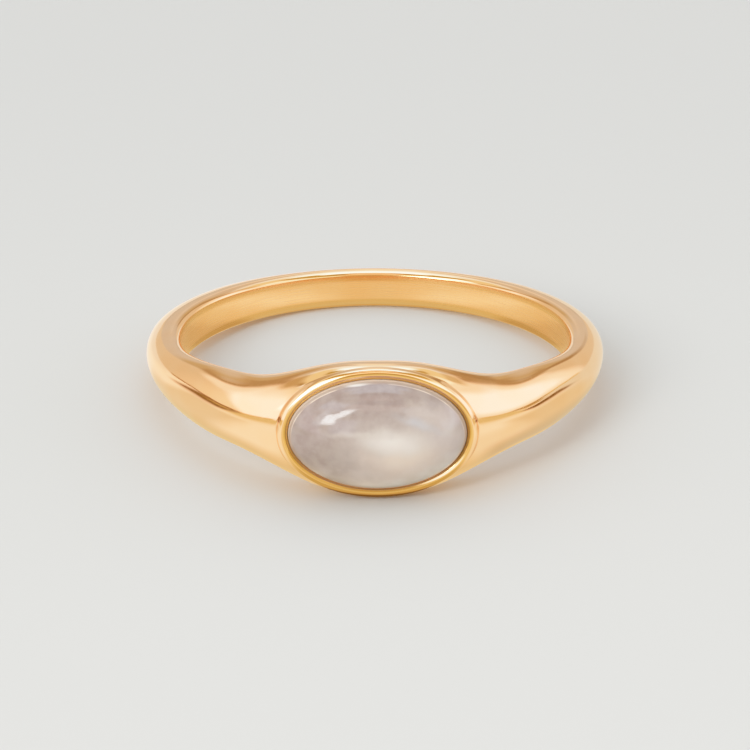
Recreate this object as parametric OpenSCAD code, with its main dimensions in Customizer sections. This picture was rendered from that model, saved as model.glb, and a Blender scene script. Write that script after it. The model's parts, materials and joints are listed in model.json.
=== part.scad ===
// Plain signet-shaped ring with an oval moonstone, lying on its side as it rests by itself.
// Millimetres, +Z up. The head with its stone looks along -Y and the band's back lies towards +Y.

/* [Band] */
// Inside diameter of the band, for the finger
bore_d = 17.3; // [15:0.1:21]
// Width of the band at its back, along the finger
back_w = 1.76; // [1.4:0.02:2.4]
// Thickness of the band at its back
back_t = 1.06; // [0.9:0.02:1.6]
// Depth of the soft rounding from the side faces into the bore
edge_round = 0.32; // [0.2:0.01:0.4]
// How far outside the bore the side faces reach their full width
crown_out = 0.42; // [0.3:0.01:0.5]

/* [Head] */
// Length of the oval rim, across the finger
rim_l = 8.66; // [7:0.02:9.4]
// Width of the oval rim, along the finger
rim_w = 5.9; // [5:0.02:6.4]
// Distance from the ring's axis to the front of the rim
rim_front = 10.28; // [10.2:0.01:10.5]
// Width of the lip that holds the stone
lip_w = 0.44; // [0.36:0.01:0.5]
// Depth of the pocket behind the front of the rim
pocket_depth = 0.95; // [0.7:0.01:1]

/* [Moonstone] */
// Clearance between the stone and its pocket
stone_gap = 0.04; // [0.02:0.01:0.08]
// Depth of the stone's widest line behind the front of the rim
girdle_depth = 0.28; // [0.2:0.01:0.4]
// Height of the dome above the widest line
dome_h = 1.8; // [1.2:0.05:2.2]
// Length and width of the stone's flat back, as a share of its widest oval
back_share = 0.93; // [0.8:0.01:0.98]

/* [Hidden] */

bore_r = bore_d / 2;
// The head's side faces stand this much wider than the rim
rim_margin = 0.05;

// Where the band widens: angle from the head where the extra half width starts to fade,
// angle where it is gone, and the amount
SHOULDERS = [
    [30, 92, 0.56],
    [56, 180, 0.20]
];
shoulder_sum = SHOULDERS[0][2] + SHOULDERS[1][2];
WIDER = concat([[0, 45, rim_w / 2 + rim_margin - back_w / 2 - shoulder_sum]], SHOULDERS);
// Where the band thickens, in the same columns: at the head, less at the sides, and all round
// except at the back
THICKER = [
    [12, 66, 0.82],
    [70, 124, -0.24],
    [126, 180, 0.64]
];
// Extra reach of the side faces at the head, in the same columns
CROWN = [
    [0, 50, 0.54]
];

// Rows of the metal round the rim: share of the way from the rim's foot to the patch's border,
// and the outward lift of the small hollow fillet at the foot, where the dome faces outward
PATCH_ROWS = [
    [0, 0.10],
    [0.03, 0.06],
    [0.07, 0.03],
    [0.12, 0.01],
    [0.18, 0],
    [0.30, 0],
    [0.46, 0],
    [0.64, 0],
    [0.82, 0]
];
// Profile of the rim from its outer wall to the pocket: inset from the rim's outer oval,
// and depth behind the rim's front
RIM_ROWS = [
    [0.03, 0.14],
    [0.08, 0.08],
    [0.17, 0.01],
    [0.22, 0],
    [0.27, 0.03],
    [lip_w, 0.20],
    [lip_w, pocket_depth]
];

// The head's patch reaches this angle to each side of the stone, and its corners face the rim
// where the rim's oval has this height for each unit of length
patch_angle = 36;
corner_slope = 1.25;
// Steps along the band outside the patch, along the patch, across one section, and across
// each rounded bore edge
band_steps = 76;
head_steps = 26;
section_steps = 20;
round_steps = 4;
// Where on the rounding the bore edge lies, and how far the raw solid reaches into the bore
round_start = 22;
bore_stock = 0.6;

// Smooth step from 0 to 1 with no jump in slope or bend
function ease(t) = let (u = min(1, max(0, t))) u * u * u * (u * (6 * u - 15) + 10);
// An amount that fades out between two angles
function faded(row, angle) = row[2] * (1 - ease((angle - row[0]) / (row[1] - row[0])));
function total(rows, angle, i = 0) =
    i == len(rows) ? 0 : faded(rows[i], angle) + total(rows, angle, i + 1);

// Half width, thickness and reach of the side faces, by the angle from the head
function half_w(phi) = back_w / 2 + total(WIDER, abs(phi));
function thick(phi) = back_t + total(THICKER, abs(phi));
function crown(phi) = crown_out + total(CROWN, abs(phi));

// Section of the band as [distance from the axis, height]: the outer dome from the upper side
// face at a = 90 to the lower one at a = -90, and the rounding of a side face into the bore
function dome(phi, a) = [
    bore_r + crown(phi) + (thick(phi) - crown(phi)) * cos(a),
    half_w(phi) * sin(a)
];
function rounding(phi, q) = [
    bore_r + crown(phi) * (1 - cos(q)),
    half_w(phi) - edge_round * (1 - sin(q))
];
function around(phi, p) = [p[0] * sin(phi), -p[0] * cos(phi), p[1]];

// Angles [phi, a] of the point on the dome that lies at x across and z up
function foot(x, z, phi, tries = 6) = let (a = asin(z / half_w(phi)))
    tries == 0 ? [phi, a] : foot(x, z, asin(x / dome(phi, a)[0]), tries - 1);

// Angle of step j, counted from the patch's edge round the back and then over the head
edge_len = band_steps + head_steps;
function step_angle(j) = j <= band_steps
    ? patch_angle + (360 - 2 * patch_angle) * j / band_steps
    : 360 - patch_angle + 2 * patch_angle * (j - band_steps) / head_steps;
function signed(angle) = angle > 180 ? angle - 360 : angle;
function phi_at(j) = signed(step_angle(j));

// The patch's border, going round from its upper corner: [phi, a]
border_len = 2 * (section_steps + head_steps);
lower_corner = section_steps;
far_corner = section_steps + head_steps;
last_corner = 2 * section_steps + head_steps;
function border(m) =
    m < lower_corner ? [patch_angle, 90 - 180 * m / section_steps]
    : m < far_corner ? [patch_angle * (1 - 2 * (m - lower_corner) / head_steps), -90]
    : m < last_corner ? [-patch_angle, 180 * (m - far_corner) / section_steps - 90]
    : [patch_angle * (2 * (m - last_corner) / head_steps - 1), 90];

// Oval of the rim with an inset, at the oval angle that faces border point m
function oval(turn, inset) = [(rim_l / 2 - inset) * cos(turn), (rim_w / 2 - inset) * sin(turn)];
function facing(m) = let (b = border(m)) atan2(b[1] / 90 * corner_slope, b[0] / patch_angle);
function rim_point(m, row) = let (p = oval(facing(m), row[0])) [p[0], row[1] - rim_front, p[1]];
function patch_point(m, row) = let (
    p = oval(facing(m), 0),
    from = foot(p[0], p[1], asin(p[0] / rim_front)),
    at = from + (border(m) - from) * row[0]
) around(at[0], dome(at[0], at[1]) + [row[1] * cos(at[1]), 0]);

// Stock inside the bore, a little lower than the bore edge that it carries on from
function stock(phi) = [bore_r - bore_stock, rounding(phi, round_start)[1] - edge_round];
function lower(p) = [p[0], -p[1]];

// All points, in blocks: the dome outside the patch, the side faces' crests over the head,
// the rounded edges as closed loops, the patch, the rim and the stock inside the bore
DOME_POINTS = [for (j = [0:band_steps]) for (k = [0:section_steps])
    around(phi_at(j), dome(phi_at(j), 90 - 180 * k / section_steps))];
CREST_POINTS = [for (a = [90, -90]) for (j = [band_steps + 1:edge_len - 1])
    around(phi_at(j), dome(phi_at(j), a))];
function edge_loop(q) = [for (j = [0:edge_len - 1]) rounding(phi_at(j), q)];
function turned(loop) = [for (j = [0:edge_len - 1]) around(phi_at(j), loop[j])];
ROUND_ANGLES = [for (s = [0:round_steps - 1]) round_start + (90 - round_start) * s / round_steps];
UPPER_POINTS = [for (q = ROUND_ANGLES) each turned(edge_loop(q))];
LOWER_POINTS = [for (q = ROUND_ANGLES) each turned([for (p = edge_loop(q)) lower(p)])];
PATCH_POINTS = [for (row = PATCH_ROWS) for (m = [0:border_len - 1]) patch_point(m, row)];
RIM_POINTS = [for (row = RIM_ROWS) for (m = [0:border_len - 1]) rim_point(m, row)];
OUTER_POINTS = concat(
    DOME_POINTS, CREST_POINTS, UPPER_POINTS, LOWER_POINTS, PATCH_POINTS, RIM_POINTS
);
STOCK_LOOP = [for (j = [0:edge_len - 1]) stock(phi_at(j))];
INNER_POINTS = concat(
    turned(STOCK_LOOP),
    turned([for (p = STOCK_LOOP) lower(p)]),
    [[0, pocket_depth - rim_front, 0]]
);

crest_at = len(DOME_POINTS);
upper_at = crest_at + len(CREST_POINTS);
lower_at = upper_at + len(UPPER_POINTS);
patch_at = lower_at + len(LOWER_POINTS);
rim_at = patch_at + len(PATCH_POINTS);
stock_at = rim_at + len(RIM_POINTS);
centre_at = stock_at + 2 * edge_len;

// Numbers of the points in a row, for each kind of row
section_len = section_steps + 1;
function dome_row(j) = [for (k = [0:section_steps]) j * section_len + k];
function crest_number(j, side) = let (n = j % edge_len)
    n <= band_steps ? n * section_len + side * section_steps
    : crest_at + side * (head_steps - 1) + n - band_steps - 1;
function crest_row(side) = [for (j = [0:edge_len]) crest_number(j, side)];
function loop_row(start, length) = [for (m = [0:length]) start + m % length];
function border_number(m) =
    m < lower_corner ? m
    : m < far_corner ? crest_number(edge_len - (m - lower_corner), 1)
    : m < last_corner ? band_steps * section_len + last_corner - m
    : crest_number(band_steps + m - last_corner, 0);
BORDER_ROW = [for (m = [0:border_len]) border_number(m % border_len)];

// Two triangles for each step between two rows of equal length
function strip(a, b) = [for (i = [0:len(a) - 2]) each [
    [a[i], b[i], b[i + 1]],
    [a[i], b[i + 1], a[i + 1]]
]];
function strips(rows) = [for (i = [0:len(rows) - 2]) each strip(rows[i], rows[i + 1])];
// One triangle for each step of a row, to a tip
function fan(row, tip) = [for (i = [0:len(row) - 2]) [row[i], tip, row[i + 1]]];

HEAD_ROWS = concat(
    [for (r = [len(RIM_ROWS) - 1:-1:0]) loop_row(rim_at + r * border_len, border_len)],
    [for (r = [0:len(PATCH_ROWS) - 1]) loop_row(patch_at + r * border_len, border_len)],
    [BORDER_ROW]
);
BORE_ROWS = concat(
    [crest_row(0)],
    [for (s = [round_steps - 1:-1:0]) loop_row(upper_at + s * edge_len, edge_len)],
    [loop_row(stock_at, edge_len), loop_row(stock_at + edge_len, edge_len)],
    [for (s = [0:round_steps - 1]) loop_row(lower_at + s * edge_len, edge_len)],
    [crest_row(1)]
);
function backwards(face) = [face[2], face[1], face[0]];
FACES = concat(
    strips([for (j = [0:band_steps]) dome_row(j)]),
    strips(HEAD_ROWS),
    [for (face = fan(HEAD_ROWS[0], centre_at)) backwards(face)],
    strips(BORE_ROWS)
);

// The ring lies on the lowest points of its head and of its back, so its axis leans back
function height(p, angle) = p[2] * cos(angle) - p[1] * sin(angle);
function low(points, angle) = min([for (p = points) height(p, angle)]);
HEAD_FEET = [for (p = OUTER_POINTS) if (p[1] < 0 && p[2] < 0) p];
BACK_FEET = [for (p = OUTER_POINTS) if (p[1] > 0 && p[2] < 0) p];
function settled(angle, tries = 6) = tries == 0 ? angle
    : settled(angle + atan((low(BACK_FEET, angle) - low(HEAD_FEET, angle)) / bore_d), tries - 1);
lean = settled(0);
rise = -low(HEAD_FEET, lean);

// Rows of the stone from its flat back over the widest line towards the top of its dome:
// share of the widest oval, and depth behind the rim's front
stone_turns = 64;
dome_rows = 9;
stone_inset = lip_w + stone_gap;
STONE_ROWS = concat(
    [[back_share, pocket_depth - stone_gap]],
    [for (t = [0:90 / dome_rows:89]) [cos(t), girdle_depth - dome_h * sin(t)]]
);
function stone_point(row, turn) = let (p = oval(turn, stone_inset) * row[0])
    [p[0], row[1] - rim_front, p[1]];
STONE_TIPS = [
    stone_point([0, pocket_depth - stone_gap], 0),
    stone_point([0, girdle_depth - dome_h], 0)
];
STONE_POINTS = concat(
    [for (row = STONE_ROWS) for (i = [0:stone_turns - 1]) stone_point(row, 360 * i / stone_turns)],
    STONE_TIPS
);
stone_back_at = len(STONE_ROWS) * stone_turns;
function stone_row(r) = loop_row(r * stone_turns, stone_turns);
STONE_FACES = concat(
    strips([for (r = [0:dome_rows]) stone_row(r)]),
    fan(stone_row(dome_rows), stone_back_at + 1),
    [for (face = fan(stone_row(0), stone_back_at)) backwards(face)]
);

// The outer box is centred along Y between the dome's front and the band's back
function reach(p) = p[1] * cos(lean) + p[2] * sin(lean);
front = min([for (p = STONE_POINTS) reach(p)]);
back = max([for (p = OUTER_POINTS) reach(p)]);

module resting() {
    translate([0, -(front + back) / 2, rise])
        rotate([-lean, 0, 0])
            children();
}

// Band, shoulders, head and rim in one piece, with the true round bore cut last
module ring_band() {
    color("goldenrod")
        resting()
            difference() {
                polyhedron(concat(OUTER_POINTS, INNER_POINTS), FACES, convexity = 8);
                cylinder(r = bore_r, h = 2 * rim_w, center = true, $fn = 180);
            }
}

// Oval cabochon with a flat back, its widest line just behind the lip
module moonstone() {
    color("lavenderblush")
        resting()
            polyhedron(STONE_POINTS, STONE_FACES, convexity = 2);
}

ring_band();
moonstone();
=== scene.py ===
import bpy
import json
import math
import numpy as np
from mathutils import Matrix


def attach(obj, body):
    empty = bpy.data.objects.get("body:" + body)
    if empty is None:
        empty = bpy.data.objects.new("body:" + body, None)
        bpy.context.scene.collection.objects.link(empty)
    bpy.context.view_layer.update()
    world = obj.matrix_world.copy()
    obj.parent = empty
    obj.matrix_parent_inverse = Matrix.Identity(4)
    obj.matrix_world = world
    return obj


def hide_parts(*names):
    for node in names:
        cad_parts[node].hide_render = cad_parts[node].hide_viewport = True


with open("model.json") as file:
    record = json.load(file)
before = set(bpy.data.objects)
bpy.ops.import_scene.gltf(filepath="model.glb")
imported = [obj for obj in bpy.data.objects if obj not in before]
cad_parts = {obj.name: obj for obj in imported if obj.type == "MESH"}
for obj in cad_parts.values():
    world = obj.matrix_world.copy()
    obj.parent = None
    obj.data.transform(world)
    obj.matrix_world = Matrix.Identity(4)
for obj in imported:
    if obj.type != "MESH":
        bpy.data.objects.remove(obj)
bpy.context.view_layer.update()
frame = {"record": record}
MM = 0.001

# Where the finger's axis runs through the ring, and how far the ring leans back as it lies
BORE = next(m for m in frame["record"]["mounts"] if m["name"] == "finger_bore")
CENTRE = np.array(BORE["pos_m"])
LEAN = math.atan2(BORE["axis"][1], BORE["axis"][2])


def placed(points):
    """Points of the upright ring in millimetres, as they lie in the frame, in metres."""
    p = np.asarray(points, float)
    y = p[..., 1] * math.cos(LEAN) + p[..., 2] * math.sin(LEAN)
    z = p[..., 2] * math.cos(LEAN) - p[..., 1] * math.sin(LEAN)
    return np.stack([p[..., 0], y, z], -1) * MM + CENTRE


# Camera: a long lens on the ring, from its own elevation above the finger hole's plane
CAM_ELEVATION = 20.0
CAM_AZIMUTH = -0.6
CAM_DISTANCE = 280.0
PX_PER_MM = 22.43
AIM_UP = 0.95
FRAME_PX = 750
SENSOR_MM = 36.0


def add_camera():
    elevation, azimuth = np.radians([CAM_ELEVATION, CAM_AZIMUTH])
    back = np.array([
        math.sin(azimuth) * math.cos(elevation),
        -math.cos(azimuth) * math.cos(elevation),
        math.sin(elevation),
    ])
    right = np.array([math.cos(azimuth), math.sin(azimuth), 0.0])
    up = np.cross(back, right)
    eye = placed(back * CAM_DISTANCE - up * AIM_UP)
    origin = placed([0, 0, 0])
    columns = [(placed(v) - origin) / MM for v in (right, up, back)] + [eye]
    camera = bpy.data.objects.new("camera", bpy.data.cameras.new("camera"))
    matrix = Matrix.Identity(4)
    for c, column in enumerate(columns):
        for r in range(3):
            matrix[r][c] = column[r]
    camera.matrix_world = matrix
    camera.data.sensor_width = SENSOR_MM
    camera.data.lens = PX_PER_MM * CAM_DISTANCE * SENSOR_MM / FRAME_PX
    camera.data.clip_start = 0.01
    camera.data.clip_end = 10
    bpy.context.scene.collection.objects.link(camera)
    bpy.context.scene.camera = camera


# Sizes of the ring in millimetres, as in its solids
BORE_R = BORE["dims"]["r_mm"]
BACK_W, BACK_T = 1.76, 1.06
EDGE_ROUND, CROWN_OUT = 0.32, 0.42
RIM_L, RIM_W, RIM_FRONT = 8.66, 5.9, 10.28
LIP_W, POCKET_DEPTH = 0.44, 0.95
STONE_GAP, GIRDLE_DEPTH, DOME_H = 0.02, 0.26, 1.8
RIM_MARGIN = 0.05

# Angle where an extra amount starts to fade, angle where it is gone, and the amount
SHOULDERS = [(30, 92, 0.56), (56, 180, 0.20)]
WIDER = [(0, 45, RIM_W / 2 + RIM_MARGIN - BACK_W / 2 - sum(row[-1] for row in SHOULDERS))] + SHOULDERS
THICKER = [(12, 66, 0.82), (70, 124, -0.24), (126, 180, 0.64)]
CROWN = [(0, 50, 0.54)]


def ease(t):
    """From 0 to 1, level and straight at both ends."""
    t = np.clip(t, 0, 1)
    return t ** 3 * (t * (6 * t - 15) + 10)


def total(rows, phi):
    return sum(amount * (1 - ease((np.abs(phi) - start) / (end - start))) for start, end, amount in rows)


def half_w(phi):
    return BACK_W / 2 + total(WIDER, phi)


def thick(phi):
    return BACK_T + total(THICKER, phi)


def crown(phi):
    return CROWN_OUT + total(CROWN, phi)


def around(phi, radius, height):
    """Points at angles from the head's middle, at a distance from the finger's axis and a height."""
    turn = np.radians(phi)
    return np.stack(np.broadcast_arrays(radius * np.sin(turn), -radius * np.cos(turn), height), -1)


def dome(phi, a):
    """Distance and height on the outer dome of the band's section, by its angle from -90 to 90."""
    turn = np.radians(a)
    radius = BORE_R + crown(phi) + (thick(phi) - crown(phi)) * np.cos(turn)
    return radius, half_w(phi) * np.sin(turn)


def rounding(phi, q):
    """Distance and height on the side face's rounding, from its crest at 90 down to the bore at 0."""
    turn = np.radians(q)
    radius = BORE_R + crown(phi) * (1 - np.cos(turn))
    return radius, half_w(phi) - EDGE_ROUND * (1 - np.sin(turn))


def foot(x, z, phi):
    """Angles of the point on the outer dome that lies at x across and z up."""
    for _ in range(FOOT_ROUNDS):
        a = np.degrees(np.arcsin(z / half_w(phi)))
        phi = np.degrees(np.arcsin(x / dome(phi, a)[0]))
    return phi, np.degrees(np.arcsin(z / half_w(phi)))


# Steps of the fine mesh; the patch is the part of the dome around the rim, out to its angle
FOOT_ROUNDS = 8
PATCH_ANGLE, CORNER_SLOPE = 36, 1.25
BAND_STEPS, HEAD_STEPS, SECTION_STEPS, ROUND_STEPS = 288, 96, 64, 12
# Where the side face's rounding ends in the crisp bore edge, how steeply the wall slopes outwards
# there, the edge's own small step down, and the wall's rows as shares of the way from its middle to it
ROUND_START, EDGE_SLOPE, EDGE_STEP = 22, 0.166, 0.01
WALL_SHARES = np.array([0, 0.2, 0.4, 0.55, 0.66, 0.76, 0.84, 0.92, 0.98, 0.995, 1])
EDGE_LEN = BAND_STEPS + HEAD_STEPS
# Share of the way from the rim's foot to the patch's border, from the border inwards
PATCH_SHARES = [1, 0.9, 0.8, 0.7, 0.6, 0.5, 0.4, 0.3, 0.2, 0.12, 0.06, 0.025]
# Profile of the rim from its foot to the pocket: inset from the oval and depth behind the front
RIM_ROWS = [
    (0.0, 0.2), (0.015, 0.145), (0.055, 0.088), (0.105, 0.046), (0.16, 0.015), (0.21, 0), (0.25, 0),
    (0.31, 0.016), (0.37, 0.040), (0.42, 0.075), (LIP_W, 0.1), (LIP_W + 0.016, 0.13),
    (LIP_W + 0.02, 0.17), (LIP_W + 0.018, 0.27), (LIP_W, 0.3), (LIP_W, POCKET_DEPTH),
]
CUTS, CUT_SHARE = 2, 0.25


def rim_oval(turn, inset):
    """Place across and up on the rim's oval, made smaller by the inset."""
    return (RIM_L / 2 - inset) * np.cos(turn), (RIM_W / 2 - inset) * np.sin(turn)


def rounded(rows, cuts):
    """Rows of points with each corner between the rows cut, the first and last row kept."""
    for _ in range(cuts):
        inner = []
        for a, b in zip(rows[:-1], rows[1:]):
            inner += [(1 - CUT_SHARE) * a + CUT_SHARE * b, CUT_SHARE * a + (1 - CUT_SHARE) * b]
        rows = [rows[0]] + inner[1:-1] + [rows[-1]]
    return rows


class Sheets:
    """Points and four-sided faces of one closed surface, gathered row by row."""

    def __init__(self):
        self.points = []
        self.count = 0
        self.faces = []

    def add(self, points):
        points = np.asarray(points).reshape(-1, 3)
        self.points.append(points)
        numbers = np.arange(self.count, self.count + len(points))
        self.count += len(points)
        return numbers

    def strip(self, a, b):
        self.faces += [tuple(int(n) for n in f) for f in zip(a[:-1], b[:-1], b[1:], a[1:])]

    def strips(self, rows):
        for a, b in zip(rows[:-1], rows[1:]):
            self.strip(a, b)

    def fan(self, row, tip):
        self.faces += [(int(a), int(tip), int(b)) for a, b in zip(row[:-1], row[1:])]

    def build(self, name, material):
        mesh = bpy.data.meshes.new(name)
        mesh.from_pydata(placed(np.concatenate(self.points)).tolist(), [], [f[::-1] for f in self.faces])
        mesh.polygons.foreach_set("use_smooth", [True] * len(mesh.polygons))
        mesh.materials.append(material)
        mesh.update()
        piece = bpy.data.objects.new(name, mesh)
        bpy.context.scene.collection.objects.link(piece)
        return piece


def closed(row):
    return np.append(row, row[0])


def ring_piece(material):
    sheets = Sheets()
    steps = np.arange(EDGE_LEN)
    phi = np.where(
        steps <= BAND_STEPS,
        PATCH_ANGLE + (360 - 2 * PATCH_ANGLE) * steps / BAND_STEPS,
        360 - PATCH_ANGLE + 2 * PATCH_ANGLE * (steps - BAND_STEPS) / HEAD_STEPS,
    )
    phi = np.where(phi > 180, phi - 360, phi)

    # Outer dome of the band outside the patch
    a = 90 - 180 * np.arange(SECTION_STEPS + 1) / SECTION_STEPS
    grid_phi, grid_a = np.meshgrid(phi[:BAND_STEPS + 1], a, indexing="ij")
    grid = sheets.add(around(grid_phi, *dome(grid_phi, grid_a))).reshape(grid_phi.shape)
    sheets.strips(list(grid))

    # Crests of the side faces over the head, then the full crest rows
    crests = []
    for side, angle in ((0, 90), (-1, -90)):
        more = sheets.add(around(phi[BAND_STEPS + 1:], *dome(phi[BAND_STEPS + 1:], angle)))
        crests.append(np.concatenate([grid[:, side], more]))

    # Rounded bore edges and the bore's wall, from the lower crest to the upper one
    q = np.linspace(90, ROUND_START, ROUND_STEPS + 1)[1:]
    low = [sheets.add(around(phi, r, -h)) for r, h in (rounding(phi, angle) for angle in q)]
    edge_radius, edge_height = rounding(phi, ROUND_START)
    edge_height = edge_height - EDGE_STEP
    flare = 2 * (edge_radius - BORE_R) / EDGE_SLOPE
    wall = []
    for place in np.concatenate([-WALL_SHARES[::-1], WALL_SHARES[1:]]):
        inwards = np.clip(1 - edge_height * (1 - abs(place)) / flare, 0, 1)
        wall_radius = BORE_R + EDGE_SLOPE * flare / 2 * inwards ** 2
        wall.append(sheets.add(around(phi, wall_radius, edge_height * place)))
    top = [sheets.add(around(phi, *rounding(phi, angle))) for angle in q[::-1]]
    edge_rows = [crests[1]] + low + wall + top + [crests[0]]
    sheets.strips([closed(row) for row in edge_rows[::-1]])

    # The patch's border, round from its upper corner at the positive side
    s = np.arange(SECTION_STEPS)
    h = np.arange(HEAD_STEPS)
    border_phi = np.concatenate([
        np.full(SECTION_STEPS, PATCH_ANGLE), PATCH_ANGLE * (1 - 2 * h / HEAD_STEPS),
        np.full(SECTION_STEPS, -PATCH_ANGLE), PATCH_ANGLE * (2 * h / HEAD_STEPS - 1),
    ])
    border_a = np.concatenate([
        90 - 180 * s / SECTION_STEPS, np.full(HEAD_STEPS, -90),
        180 * s / SECTION_STEPS - 90, np.full(HEAD_STEPS, 90),
    ])
    border = np.concatenate([
        grid[0, :-1],
        closed(crests[1])[EDGE_LEN - h],
        grid[-1, ::-1][:-1],
        crests[0][BAND_STEPS + h],
    ])
    turn = np.arctan2(border_a / 90 * CORNER_SLOPE, border_phi / PATCH_ANGLE)
    x, z = rim_oval(turn, 0)
    foot_phi, foot_a = foot(x, z, np.degrees(np.arcsin(x / RIM_FRONT)))
    rows = []
    for share in PATCH_SHARES:
        row_phi = foot_phi + (border_phi - foot_phi) * share
        row_a = foot_a + (border_a - foot_a) * share
        rows.append(around(row_phi, *dome(row_phi, row_a)))
    for inset, depth in RIM_ROWS:
        x, z = rim_oval(turn, inset)
        rows.append(np.stack([x, np.full_like(x, depth - RIM_FRONT), z], -1))
    rows = rounded(rows, CUTS)
    numbers = [border] + [sheets.add(row) for row in rows[1:]]
    sheets.strips([closed(row) for row in numbers[::-1]])
    sheets.fan(closed(numbers[-1])[::-1], sheets.add([0, POCKET_DEPTH - RIM_FRONT, 0])[0])
    return sheets.build("polished_ring", material)


# Steps of the stone's fine mesh, and its back's share of the widest oval
STONE_TURNS, DOME_ROWS, BACK_SHARE = 160, 48, 0.93


def stone_piece(material):
    sheets = Sheets()
    turn = 2 * np.pi * np.arange(STONE_TURNS) / STONE_TURNS
    x, z = rim_oval(turn, LIP_W + STONE_GAP)
    rows = [(BACK_SHARE, POCKET_DEPTH - STONE_GAP)]
    for t in np.pi / 2 * np.arange(DOME_ROWS) / DOME_ROWS:
        rows.append((math.cos(t), GIRDLE_DEPTH - DOME_H * math.sin(t)))
    numbers = []
    for share, depth in rows:
        row = np.stack([x * share, np.full_like(x, depth - RIM_FRONT), z * share], -1)
        numbers.append(sheets.add(row))
    tip_depths = (GIRDLE_DEPTH - DOME_H, POCKET_DEPTH - STONE_GAP)
    tips = sheets.add([[0, depth - RIM_FRONT, 0] for depth in tip_depths])
    sheets.strips([closed(row) for row in numbers])
    sheets.fan(closed(numbers[-1]), tips[0])
    sheets.faces += [(int(b), int(tips[1]), int(a)) for a, b in zip(numbers[0], np.roll(numbers[0], -1))]
    return sheets.build("domed_stone", material)


class Graph:
    """A node tree with short calls for the nodes used here."""

    def __init__(self, tree):
        self.nodes, self.links = tree.nodes, tree.links

    def put(self, value, socket):
        if isinstance(value, bpy.types.NodeSocket):
            self.links.new(value, socket)
        elif value is not None:
            socket.default_value = value

    def math(self, operation, a, b=None):
        node = self.nodes.new("ShaderNodeMath")
        node.operation = operation
        self.put(a, node.inputs[0])
        self.put(b, node.inputs[1])
        return node.outputs[0]

    def length(self, a, b):
        squares = [self.math("POWER", value, 2.0) for value in (a, b)]
        return self.math("SQRT", self.math("ADD", *squares))

    def ramp(self, value, start, end, low=0.0, high=1.0):
        node = self.nodes.new("ShaderNodeMapRange")
        node.interpolation_type = "SMOOTHSTEP"
        for socket, v in zip(node.inputs, (value, start, end, low, high)):
            self.put(v, socket)
        return node.outputs[0]

    def band(self, value, start, end, soft):
        """One between start and end, and zero outside; an end that is None is left open."""
        if start is None:
            return self.ramp(value, end - soft / 2, end + soft / 2, 1.0, 0.0)
        rise = self.ramp(value, start - soft / 2, start + soft / 2)
        if end is None:
            return rise
        return self.math("MULTIPLY", rise, self.ramp(value, end - soft / 2, end + soft / 2, 1.0, 0.0))

    def mix(self, share, a, b):
        node = self.nodes.new("ShaderNodeMix")
        node.data_type = "RGBA"
        self.put(share, node.inputs[0])
        self.put(a, node.inputs[6])
        self.put(b, node.inputs[7])
        return node.outputs[2]

    def noise(self, vector, scale, detail=3.0):
        node = self.nodes.new("ShaderNodeTexNoise")
        self.put(vector, node.inputs["Vector"])
        self.put(scale, node.inputs["Scale"])
        self.put(detail, node.inputs["Detail"])
        return node.outputs[0]

    def split(self, vector):
        node = self.nodes.new("ShaderNodeSeparateXYZ")
        self.put(vector, node.inputs[0])
        return node.outputs

    def coordinates(self, kind):
        return self.nodes.new("ShaderNodeTexCoord").outputs[kind]

    def ring_space(self):
        """Millimetres of the upright ring."""
        node = self.nodes.new("ShaderNodeMapping")
        node.vector_type = "TEXTURE"
        self.put(self.coordinates("Object"), node.inputs["Vector"])
        node.inputs["Location"].default_value = CENTRE.tolist()
        node.inputs["Rotation"].default_value = (-LEAN, 0, 0)
        node.inputs["Scale"].default_value = (MM, MM, MM)
        return node.outputs[0]


def new_material(name):
    material = bpy.data.materials.new(name)
    material.use_nodes = True
    return material, Graph(material.node_tree), material.node_tree.nodes["Principled BSDF"].inputs


# Gold: colours, with darker golds painted as shade in the seam next to the stone and just inside the
# hole's edges, and roughness outside and on the finger hole's wall
GOLD, PALE_GOLD = (1.0, 0.65, 0.405, 1), (1.0, 0.67, 0.435, 1)
SEAM_SHADE_GOLD, EDGE_SHADE_GOLD = (0.73, 0.47, 0.16, 1), (0.84, 0.56, 0.29, 1)
ROUGH_LEAST, ROUGH_MOST, ROUGH_GRAIN = 0.045, 0.10, 0.02
WALL_ROUGH_LEAST, WALL_ROUGH_MOST = 0.2, 0.3
# Noise scales per millimetre, and the heights of the waves and marks in millimetres
WAVES, RUBBED, GRAIN = 0.9, 5.0, 60.0
MARKS, MARKS_AROUND, MARKS_UP = 3.0, 1.2, 9.0
WAVE_HEIGHT, MARK_HEIGHT = 0.006, 0.0009
# Where the wall's finish fades out, the painted shade inside the hole's edges (both from the wall
# outwards), and the seam's painted shade: its reach in shares of the lip's oval, its depth along the
# ring, and the heights between which it fades towards the lower edge, with the shares left
WALL_FADE = (0.05, 0.01)
EDGE_BAND, EDGE_SOFT = (0.004, 0.045), 0.008
SEAM_REACH, SEAM_DEPTH, SEAM_LOW = (1.055, 1.02), (-9.5, -9.7), (-2.3, -0.8, 0.3, 1.0)


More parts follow.
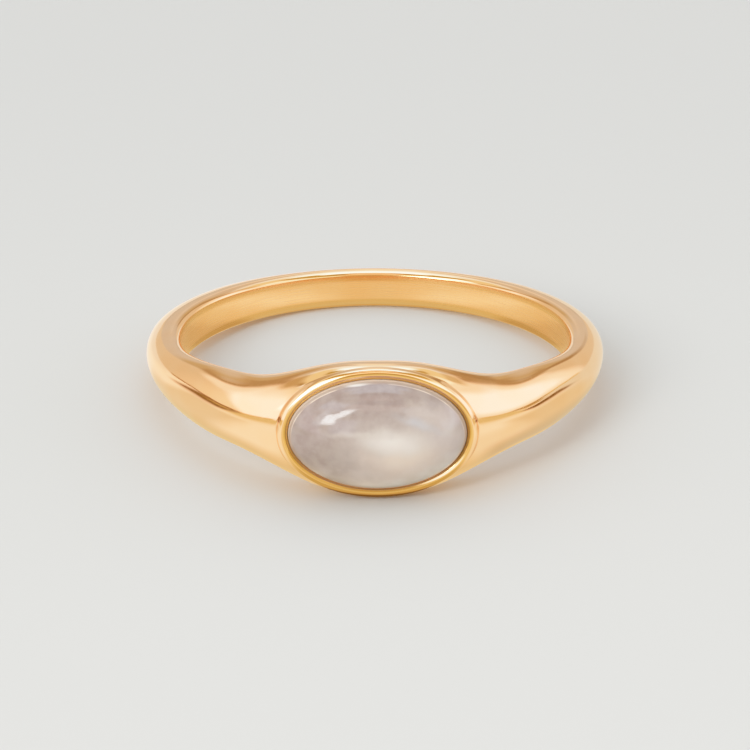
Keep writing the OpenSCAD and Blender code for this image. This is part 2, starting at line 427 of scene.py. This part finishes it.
def gold_material():
    material, graph, sockets = new_material("polished_gold")
    place = graph.ring_space()
    x, y, z = graph.split(place)
    radius = graph.length(x, y)

    # The finger hole's wall is less finely polished than the outside, with fine marks along it
    inside = graph.ramp(radius, BORE_R + WALL_FADE[0], BORE_R + WALL_FADE[1])
    turn = graph.math("ARCTAN2", x, y)
    stretched = graph.nodes.new("ShaderNodeCombineXYZ")
    graph.put(graph.math("MULTIPLY", turn, MARKS_AROUND), stretched.inputs[0])
    graph.put(radius, stretched.inputs[1])
    graph.put(graph.math("MULTIPLY", z, MARKS_UP), stretched.inputs[2])
    marks = graph.noise(stretched.outputs[0], MARKS, 2.0)

    # Slow waves left by the polishing, and rubbed patches that are a little less bright
    waves = graph.noise(place, WAVES, 0.0)
    rubbed = graph.noise(place, RUBBED, 3.0)
    grain = graph.noise(place, GRAIN, 0.0)
    rough = graph.ramp(rubbed, 0.35, 0.75, ROUGH_LEAST, ROUGH_MOST)
    rough = graph.math("ADD", rough, graph.math("MULTIPLY", grain, ROUGH_GRAIN))
    rough_inside = graph.ramp(marks, 0.3, 0.7, WALL_ROUGH_LEAST, WALL_ROUGH_MOST)
    rough = graph.math("ADD", graph.math("MULTIPLY", rough, graph.math("SUBTRACT", 1.0, inside)),
                       graph.math("MULTIPLY", rough_inside, inside))
    graph.put(rough, sockets["Roughness"])
    colour = graph.mix(graph.ramp(waves, 0.3, 0.7), GOLD, PALE_GOLD)

    # Painted shade: a darker gold in the seam next to the stone, fading towards its lower edge, and just
    # inside the hole's edges
    half_x, half_z = rim_oval(np.array([0, np.pi / 2]), LIP_W)
    across = graph.math("DIVIDE", x, float(half_x[0]))
    up = graph.math("DIVIDE", z, float(half_z[1]))
    seam = graph.ramp(graph.length(across, up), *SEAM_REACH)
    seam = graph.math("MULTIPLY", seam, graph.ramp(y, *SEAM_DEPTH))
    seam = graph.math("MULTIPLY", seam, graph.ramp(z, *SEAM_LOW))
    colour = graph.mix(seam, colour, SEAM_SHADE_GOLD)
    # Painted shade: a darker gold band just inside the hole's edges
    edge = graph.band(radius, BORE_R + EDGE_BAND[0], BORE_R + EDGE_BAND[1], EDGE_SOFT)
    graph.put(graph.mix(edge, colour, EDGE_SHADE_GOLD), sockets["Base Color"])

    height = graph.math("ADD", graph.math("MULTIPLY", waves, WAVE_HEIGHT),
                        graph.math("MULTIPLY", graph.math("MULTIPLY", marks, inside), MARK_HEIGHT))
    bump = graph.nodes.new("ShaderNodeBump")
    bump.inputs["Strength"].default_value = 1.0
    bump.inputs["Distance"].default_value = MM
    graph.put(height, bump.inputs["Height"])
    graph.put(bump.outputs[0], sockets["Normal"])
    sockets["Metallic"].default_value = 1
    return material


# Glows painted inside the stone, each over the ones before it: its painted glowing sheen, lighter
# painted light over its lower part, a darker top, and a painted soft highlight at the right. Each gives
# place across and up as shares of its widest oval, half length, half width, turn in degrees, strength
# and colour
STONE_PAINTED_GLOWS = [
    (0.55, -0.05, 1.00, 1.10, 0, 0.9, (0.65, 0.57, 0.525, 1)),
    (-0.06, -1.04, 1.20, 0.48, 0, 1.0, (1.0, 0.86, 0.77, 1)),
    (0.56, -0.88, 0.85, 0.36, 34, 1.0, (1.0, 0.97, 0.93, 1)),
    (0.08, 0.86, 1.10, 0.44, -4, 0.9, (0.325, 0.255, 0.235, 1)),
    (0.55, 0.50, 0.34, 0.16, -18, 0.4, (0.66, 0.56, 0.46, 1)),
    (0.32, -0.32, 0.44, 0.34, 10, 0.9, (0.85, 0.70, 0.59, 1)),
    (0.16, 0.06, 0.36, 0.24, -14, 0.9, (0.88, 0.82, 0.75, 1)),
    (-0.20, 0.20, 0.44, 0.07, -2, 0.55, (0.68, 0.61, 0.55, 1)),
    (0.43, 0.38, 0.30, 0.07, -35, 0.75, (0.58, 0.58, 0.61, 1)),
    (0.76, 0.32, 0.20, 0.07, 74, 0.5, (0.70, 0.66, 0.63, 1)),
]
# A crisp painted highlight near the lip, a streak given in the same way
HIGHLIGHT_STREAK = (-0.27, 0.935, 0.17, 0.017, 10.6, 1.0, (1.0, 0.97, 0.92, 1))
# How far a glow fades beyond its own oval
FADE = 1.5
MILK = (0.365, 0.29, 0.265, 1)
CLOUD = (0.86, 0.78, 0.70, 1)
EDGE_STRIP = (0.56, 0.45, 0.37, 1)
# Painted light at the stone's outermost edge, and a painted highlight line near it
EDGE_RIM_LIGHT = (0.95, 0.79, 0.66, 1)
EDGE_HIGHLIGHT_LINE = (0.97, 0.80, 0.64, 1)
# Reaches of the edge's strip, painted light rim and painted highlight line, in shares of the widest
# oval, and how soft the line is
STRIP_REACH, RIM_REACH, LINE_BAND, LINE_SOFT = (0.966, 0.98), (0.983, 0.993), (0.962, 0.969), 0.007
# Noise scales per millimetre, and how far the drift moves the glows across and up
DRIFT, CLOUDS, BREAKS = 0.7, 2.2, 1.6
DRIFT_ACROSS, DRIFT_UP = 0.35, 0.45


def glow_share(graph, u, v, row):
    at_u, at_v, half_length, half_width, turn, strength = row[:-1]
    c, s = math.cos(math.radians(turn)), math.sin(math.radians(turn))
    du, dv = graph.math("SUBTRACT", u, at_u), graph.math("SUBTRACT", v, at_v)
    along = graph.math("ADD", graph.math("MULTIPLY", du, c), graph.math("MULTIPLY", dv, s))
    aside = graph.math("SUBTRACT", graph.math("MULTIPLY", dv, c), graph.math("MULTIPLY", du, s))
    far = graph.length(graph.math("DIVIDE", along, half_length), graph.math("DIVIDE", aside, half_width))
    return graph.ramp(far, FADE, 0.0, 0.0, strength)


def stone_material():
    material, graph, sockets = new_material("moonstone")
    place = graph.ring_space()
    x, y, z = graph.split(place)
    half_x, half_z = rim_oval(np.array([0, np.pi / 2]), LIP_W + STONE_GAP)
    u = graph.math("DIVIDE", x, float(half_x[0]))
    v = graph.math("DIVIDE", z, float(half_z[1]))
    out = graph.length(u, v)

    # Slow drift of the glows' outlines, so that none is a plain ellipse
    drift = graph.math("SUBTRACT", graph.noise(place, DRIFT), 0.5)
    wavy_u = graph.math("ADD", u, graph.math("MULTIPLY", drift, DRIFT_ACROSS))
    wavy_v = graph.math("SUBTRACT", v, graph.math("MULTIPLY", drift, DRIFT_UP))
    # The stone's own milky colour, under the painted glowing sheen, painted light, a darker top and a
    # painted soft highlight
    colour = MILK
    for row in STONE_PAINTED_GLOWS:
        colour = graph.mix(glow_share(graph, wavy_u, wavy_v, row), colour, row[-1])
    # Painted highlight: a crisp light streak near the lip
    colour = graph.mix(glow_share(graph, u, v, HIGHLIGHT_STREAK), colour, HIGHLIGHT_STREAK[-1])
    clouds = graph.ramp(graph.noise(place, CLOUDS, 4.0), 0.3, 0.7, 0.0, 0.12)
    colour = graph.mix(clouds, colour, CLOUD)

    # The strip next to the lip, painted light at its outer edge against the shade there, and the fine
    # broken painted highlight line inside it, strongest at the upper sides
    colour = graph.mix(graph.ramp(out, *STRIP_REACH, 0.0, 0.7), colour, EDGE_STRIP)
    colour = graph.mix(graph.ramp(out, *RIM_REACH), colour, EDGE_RIM_LIGHT)
    high = graph.math("MULTIPLY", graph.ramp(v, -0.1, 0.35, 0.10, 1.0),
                      graph.ramp(graph.math("ABSOLUTE", u), 0.0, 0.6, 0.35, 1.0))
    broken = graph.ramp(graph.noise(place, BREAKS, 0.0), 0.35, 0.6, 0.2, 0.85)
    line = graph.band(out, *LINE_BAND, LINE_SOFT)
    line = graph.math("MULTIPLY", line, graph.math("MULTIPLY", high, broken))
    graph.put(graph.mix(line, colour, EDGE_HIGHLIGHT_LINE), sockets["Base Color"])
    sockets["Roughness"].default_value = 0.07
    sockets["IOR"].default_value = 1.53
    sockets["Subsurface Weight"].default_value = 0.25
    sockets["Subsurface Radius"].default_value = (1.0, 0.8, 0.7)
    sockets["Subsurface Scale"].default_value = 0.0006
    return material


def emitter(name):
    """A material of light alone, its graph and its sockets."""
    material = bpy.data.materials.new(name)
    material.use_nodes = True
    nodes = material.node_tree.nodes
    nodes.clear()
    out = nodes.new("ShaderNodeOutputMaterial")
    glow = nodes.new("ShaderNodeEmission")
    material.node_tree.links.new(glow.outputs[0], out.inputs["Surface"])
    return material, Graph(material.node_tree), glow.inputs


# Light by azimuth (0 towards the camera, positive to the right) and by elevation all round, or by
# the distance from the middle of the ring on the floor, in degrees and millimetres. Each row lies
# over the ones before it: side, azimuths, the other range, how soft its edges are in both, how far
# its sides lean, and its light; None leaves an end open
ROOM = (0.42, 0.28, 0.07, 1)
ROOM_ROWS = [
    ("both", None, 14, None, 19, 6, 5, 0, (0.75, 0.64, 0.27, 1)),
    ("both", None, 30, 19, 43, 12, 4, 0, (0.58, 0.43, 0.15, 1)),
    ("right", 12, 60, None, 31, 10, 6, 0, (0.80, 0.62, 0.24, 1)),
    ("left", 14, 58, None, 31, 8, 6, 0, (0.95, 0.78, 0.40, 1)),
    ("both", 120, None, None, None, 20, 6, 0, (0.73, 0.65, 0.55, 1)),
    ("both", 150, None, None, 3, 14, 5, 0, (0.62, 0.55, 0.45, 1)),
    ("both", 176, None, 17, None, 8, 18, 0, (1.18, 1.09, 0.94, 1)),
    ("both", 171, 187, 15, 36, 10, 8, 0.95, (0.62, 0.49, 0.28, 1)),
    ("right", 166, 177, 10, 34, 4, 6, 0.95, (0.44, 0.31, 0.15, 1)),
    ("both", 57, 171, None, 43, 4, 4, 0.95, (0.85, 0.70, 0.51, 1)),
    ("left", 50, 112, None, 41, 44, 6, 0, (1.25, 0.97, 0.73, 1)),
    ("right", 50, 131, None, 43, 14, 4, 0, (1.34, 1.12, 0.98, 1)),
    ("both", 80, 134, 26, 39, 14, 6, 0, (1.28, 1.05, 0.90, 1)),
    ("left", 36, 80, None, 33, 8, 16, -1.0, (1.85, 1.42, 1.42, 1)),
    ("right", 56, 117, 6, 34, 14, 8, 0, (1.85, 1.5, 1.6, 1)),
    ("both", 57, 126, None, 1.5, 6, 1.5, 0, (0.80, 0.60, 0.26, 1)),
    ("left", 102, 126, None, 1.5, 8, 1.5, 0, (0.44, 0.28, 0.13, 1)),
    ("left", 84, 106, None, 2.0, 8, 2.0, 0, (0.32, 0.19, 0.06, 1)),
    ("right", 84, 106, None, 2.0, 8, 2.0, 0, (0.50, 0.35, 0.13, 1)),
    ("both", 130, None, 43, None, 16, 8, 0, (1.15, 1.2, 1.22, 1)),
    ("both", 90, None, 60, None, 20, 16, 0, (1.6, 2.0, 2.35, 1)),
    ("left", 96, 130, 39.5, 47, 16, 4, 0, (0.62, 0.46, 0.23, 1)),
    ("right", 98, 130, 40.5, 47, 16, 4, 0, (0.76, 0.60, 0.36, 1)),
    ("both", 204, 217, 26, 40, 12, 4, 2.2, (0.50, 0.36, 0.18, 1)),
    ("both", 40, 146, 47, 60, 16, 6, 0, (1.05, 0.86, 0.54, 1)),
    ("both", None, 128, 59, 73, 24, 4, 0, (0.60, 0.44, 0.12, 1)),
    ("both", None, 36, 44, 56.5, 10, 4, 0, (1.75, 1.25, 0.88, 1)),
    ("both", None, 28, 57, 64.5, 20, 2, 0, (0.38, 0.22, 0.03, 1)),
    ("both", None, 36, 65.5, 80, 20, 2, 0, (1.65, 1.16, 0.82, 1)),
    ("right", 24, 64, 31, 50, 10, 6, 0, (1.8, 1.75, 1.8, 1)),
    ("right", 62, 98, 43, 56, 12, 5, 0, (1.5, 1.4, 1.25, 1)),
    ("left", 36, 82, 43, 58, 10, 5, 0, (2.3, 2.4, 2.6, 1)),
    ("left", 46, 60, 15, 46, 8, 6, 0, (3.0, 3.0, 3.0, 1)),
    ("left", 14, 34, 3, 27, 8, 8, 0, (1.8, 1.75, 1.9, 1)),
    ("left", 33, 48, 19, 36, 5, 7, 0, (13.5, 13.4, 13.1, 1)),
    ("left", 48, 60, 30, 46, 6, 8, 0.6, (12.0, 11.9, 11.6, 1)),
]
# What the metal mirrors of the floor
FLOOR = (0.87, 0.72, 0.34, 1)
FLOOR_ROWS = [
    ("both", 28, None, None, None, 18, 1, 0, (1.34, 1.10, 0.92, 1)),
    ("both", 125, None, 20, None, 20, 10, 0, (1.08, 0.96, 0.82, 1)),
    ("left", 60, 104, None, 24, 16, 8, 0, (0.96, 0.83, 0.62, 1)),
    ("right", 30, 60, None, 16, 16, 6, 0, (1.15, 0.96, 0.75, 1)),
    ("right", 58, 104, None, 22, 16, 10, 0, (0.93, 0.78, 0.54, 1)),
    ("right", 96, 168, None, None, 20, 1, 0, (0.94, 0.87, 0.72, 1)),
    ("both", 46, 84, 36, None, 8, 30, 0, (0.88, 0.70, 0.36, 1)),
    ("left", 82, 108, 30, None, 10, 24, 0, (0.30, 0.18, 0.05, 1)),
    ("right", 80, 102, 26, 50, 8, 10, 0, (0.27, 0.16, 0.04, 1)),
    ("left", 94, 118, 14, 25, 10, 6, 0, (1.36, 1.12, 0.95, 1)),
    ("both", None, 24, 20, None, 10, 8, 0, (1.08, 0.86, 0.46, 1)),
    ("both", 86, 100, 75, None, 8, 20, 0, (0.62, 0.44, 0.18, 1)),
    ("both", None, 200, None, 10.4, 4, 2.4, 0, (0.88, 0.75, 0.48, 1)),
    ("right", 36, 122, None, 10.8, 12, 3, 0, (0.73, 0.65, 0.47, 1)),
    ("both", 140, None, 9.5, 10.0, 16, 0.4, 0, (0.66, 0.48, 0.19, 1)),
    ("both", None, 24, 9.6, 12.5, 12, 0.3, 0, (0.64, 0.48, 0.16, 1)),
    ("both", None, 16, 8, 9.65, 8, 0.3, 0, (0.20, 0.12, 0.03, 1)),
    ("both", None, 200, None, 8.9, 4, 0.8, 0, (0.93, 0.72, 0.39, 1)),
    ("both", 124, 146, 7.9, 9.6, 8, 0.8, 0, (0.68, 0.50, 0.24, 1)),
    ("both", 160, 173, 5.6, 7.6, 8, 1.2, 0, (1.45, 1.14, 0.85, 1)),
]
# What the same studio is for matt surfaces, which gather it from everywhere: low in front and overhead,
# and how much the height and the way back count towards the second
MATT_LOW = (0.49, 0.50, 0.505, 1)
MATT_HIGH = (1.12, 1.145, 1.155, 1)
MATT_UP, MATT_BACK = 0.85, 0.3


def layered(graph, x, y, other, ground, rows):
    """The rows' light, one over the other on the ground, by azimuth and the other range."""
    turn = graph.math("DEGREES", graph.math("ARCTAN2", x, graph.math("MULTIPLY", y, -1.0)))
    azimuth = {
        "both": graph.math("ABSOLUTE", turn),
        "left": graph.math("MULTIPLY", turn, -1.0),
        "right": turn,
    }
    colour = ground
    for side, az_from, az_to, other_from, other_to, az_soft, other_soft, lean, light in rows:
        leaning = azimuth[side]
        if lean:
            leaning = graph.math("ADD", leaning, graph.math("MULTIPLY", other, lean))
        share = graph.band(leaning, az_from, az_to, az_soft)
        if other_from is not None or other_to is not None:
            share = graph.math("MULTIPLY", share, graph.band(other, other_from, other_to, other_soft))
        colour = graph.mix(share, colour, light)
    return colour


def add_world():
    world = bpy.data.worlds.new("studio")
    world.use_nodes = True
    graph = Graph(world.node_tree)
    x, y, z = graph.split(graph.coordinates("Generated"))
    elevation = graph.math("DEGREES", graph.math("ARCSINE", z))
    colour = layered(graph, x, y, elevation, ROOM, ROOM_ROWS)
    towards = graph.math("ADD", graph.math("MULTIPLY", z, MATT_UP), graph.math("MULTIPLY", y, MATT_BACK))
    even = graph.mix(graph.ramp(towards, 0.0, 1.0), MATT_LOW, MATT_HIGH)
    matt = graph.math("MINIMUM", graph.nodes.new("ShaderNodeLightPath").outputs["Diffuse Depth"], 1.0)
    graph.put(graph.mix(matt, colour, even), world.node_tree.nodes["Background"].inputs["Color"])
    bpy.context.scene.world = world


# Floor: its colours far and near, painted light that is darker far away and lighter near, with the
# places where one becomes the other, half its width, and how far above it the sheet with the mirrored
# light lies, in metres
FLOOR_FAR_SHADED, FLOOR_NEAR_LIT = (0.630, 0.639, 0.620, 1), (0.722, 0.731, 0.706, 1)
FAR_Y, NEAR_Y = 0.05, -0.04
SHEET_HALF, GLOW_HEIGHT = 0.9, 0.00002


def flat_sheet(name, height, material):
    mesh = bpy.data.meshes.new(name)
    corners = [(SHEET_HALF * i, SHEET_HALF * j, height) for i, j in ((-1, -1), (1, -1), (1, 1), (-1, 1))]
    mesh.from_pydata(corners, [], [(0, 1, 2, 3)])
    mesh.materials.append(material)
    piece = bpy.data.objects.new(name, mesh)
    bpy.context.scene.collection.objects.link(piece)
    return piece


def add_floor():
    material, graph, sockets = new_material("pale_floor")
    # Painted light: the floor's colour is darker far away and lighter near
    near = graph.ramp(graph.split(graph.coordinates("Object"))[1], FAR_Y, NEAR_Y)
    graph.put(graph.mix(near, FLOOR_FAR_SHADED, FLOOR_NEAR_LIT), sockets["Base Color"])
    sockets["Roughness"].default_value = 0.7
    sockets["Specular IOR Level"].default_value = 0.0
    floor = flat_sheet("floor", 0.0, material)
    floor.visible_glossy = False

    # The light that the metal mirrors from the floor
    material, graph, sockets = emitter("floor_glow")
    material.cycles.emission_sampling = "NONE"
    x, y = [graph.math("DIVIDE", v, MM) for v in graph.split(graph.coordinates("Object"))[:2]]
    graph.put(layered(graph, x, y, graph.length(x, y), FLOOR, FLOOR_ROWS), sockets["Color"])
    glow = flat_sheet("floor_glow", GLOW_HEIGHT, material)
    glow.visible_camera = False
    glow.visible_diffuse = False
    glow.visible_shadow = False
    glow.visible_transmission = False
    glow.visible_volume_scatter = False


# Tone curve with a soft shoulder: scene brightness and what is shown
TONES = [(0, 0), (0.2, 0.2), (0.5, 0.495), (0.75, 0.70), (1.0, 0.85), (1.4, 0.96), (2.0, 1.0)]


def set_tones():
    view = bpy.context.scene.view_settings
    view.view_transform = "Standard"
    view.use_curve_mapping = True
    tones = view.curve_mapping
    white = TONES[-1][0]
    tones.white_level = (white, white, white)
    curve = tones.curves[3]
    for scene_value, shown in TONES[1:-1]:
        curve.points.new(scene_value / white, shown)
    tones.update()


add_camera()
ring = ring_piece(gold_material())
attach(ring, "root")
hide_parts("ring_band")
stone = stone_piece(stone_material())
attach(stone, "root")
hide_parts("moonstone")
add_world()
add_floor()
set_tones()
